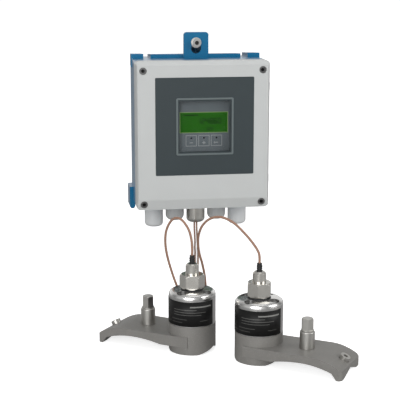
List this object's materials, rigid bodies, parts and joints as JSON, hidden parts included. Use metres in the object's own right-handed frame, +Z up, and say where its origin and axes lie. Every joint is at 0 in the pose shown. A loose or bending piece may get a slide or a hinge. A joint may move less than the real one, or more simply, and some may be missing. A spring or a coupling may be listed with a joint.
{
  "type": "ultrasonic flow meter",
  "caption": "Wall-mounted flow transmitter with a hinged window cover and display, joined by two thin cables to a pair of clamp-on sensors in footed holders.",
  "frame": {"origin": "middle of the housing's back face, on the wall that the transmitter hangs on", "axes": "+Y into the wall, -Y towards the reader, +Z up, +X to the reader's right"},
  "size_m": [0.303, 0.7054, 0.3585],
  "materials": {
    "housing_blue": "satin",
    "cover_grey": "satin",
    "panel_dark": "matte",
    "trim_grey": "matte",
    "window_glass": "clear",
    "display_plate": "matte",
    "lcd_green": "gloss",
    "circuit_board": "satin",
    "white_plastic": "satin",
    "black_plastic": "satin",
    "terminal_green": "satin",
    "winding_gold": "satin",
    "gland_grey": "satin",
    "zinc": "satin",
    "screw_steel": "satin",
    "nickel": "polished",
    "holder_cast": "satin",
    "sleeve_steel": "satin",
    "label_black": "satin",
    "rubber_black": "matte",
    "cable_brown": "satin"
  },
  "bodies": {
    "base": {"rear_housing": "housing_blue", "wall_bolt": "zinc", "bolt_washer": "zinc", "cover_seal": "rubber_black", "hinge_pins": "zinc", "display_carrier": "display_plate", "lcd_screen": "lcd_green", "lcd_rim": "trim_grey", "key_frames": "trim_grey", "display_board": "circuit_board", "board_spacers": "white_plastic", "base_plate": "black_plastic", "standoffs": "zinc", "power_board": "circuit_board", "transformer": "winding_gold", "fuse": "zinc", "amplifier_board": "circuit_board", "shield_can": "zinc", "io_board": "circuit_board", "terminal_blocks": "terminal_green", "sensor_leads": "cable_brown", "gland_rings": "rubber_black", "gland_locknuts": "zinc", "gland_bodies": "gland_grey", "gland_nuts": "gland_grey", "gland_inserts": "rubber_black", "blanking_plugs": "gland_grey", "sensor_gland_body": "nickel", "sensor_gland_nut": "nickel", "sensor_gland_insert": "rubber_black", "holder_left": "holder_cast", "transducer_left": "black_plastic", "sleeve_left": "sleeve_steel", "cap_left": "nickel", "connector_left": "nickel", "cable_gland_left": "nickel", "holder_right": "holder_cast", "transducer_right": "black_plastic", "sleeve_right": "sleeve_steel", "cap_right": "nickel", "connector_right": "nickel", "cable_gland_right": "nickel", "coupling_pads": "rubber_black", "sleeve_rings": "rubber_black", "sensor_labels": "label_black", "cable_seals": "rubber_black", "strap_bushes": "zinc", "lock_screws": "zinc", "cable_left": "cable_brown", "cable_right": "cable_brown"},
    "cover": {"front_cover": "cover_grey", "cover_screws": "screw_steel", "front_panel": "panel_dark", "window_frame": "trim_grey", "window_liner": "panel_dark", "window_glass": "window_glass"},
    "left_nut": {"union_nut_left": "nickel"},
    "right_nut": {"union_nut_right": "nickel"},
    "left_strap_bolt": {"strap_bolt_left": "zinc"},
    "right_strap_bolt": {"strap_bolt_right": "zinc"}
  },
  "joints": [
    {"name": "cover_hinge", "type": "hinge", "parent": "base", "child": "cover", "pos_m": [0.1085, -0.11, 0], "axis": [0, 0, 1], "range_deg": [0, 120]},
    {"name": "left_union_nut_turn", "type": "hinge", "parent": "base", "child": "left_nut", "pos_m": [-0.08, -0.567, -0.114], "axis": [0, 0, 1], "continuous": true},
    {"name": "right_union_nut_turn", "type": "hinge", "parent": "base", "child": "right_nut", "pos_m": [-0.006, -0.614, -0.114], "axis": [0, 0, 1], "continuous": true},
    {"name": "left_strap_bolt_turn", "type": "hinge", "parent": "base", "child": "left_strap_bolt", "pos_m": [-0.13079, -0.53144, -0.15], "axis": [0, 0, 1], "continuous": true},
    {"name": "right_strap_bolt_turn", "type": "hinge", "parent": "base", "child": "right_strap_bolt", "pos_m": [0.04479, -0.64956, -0.15], "axis": [0, 0, 1], "continuous": true}
  ]
}
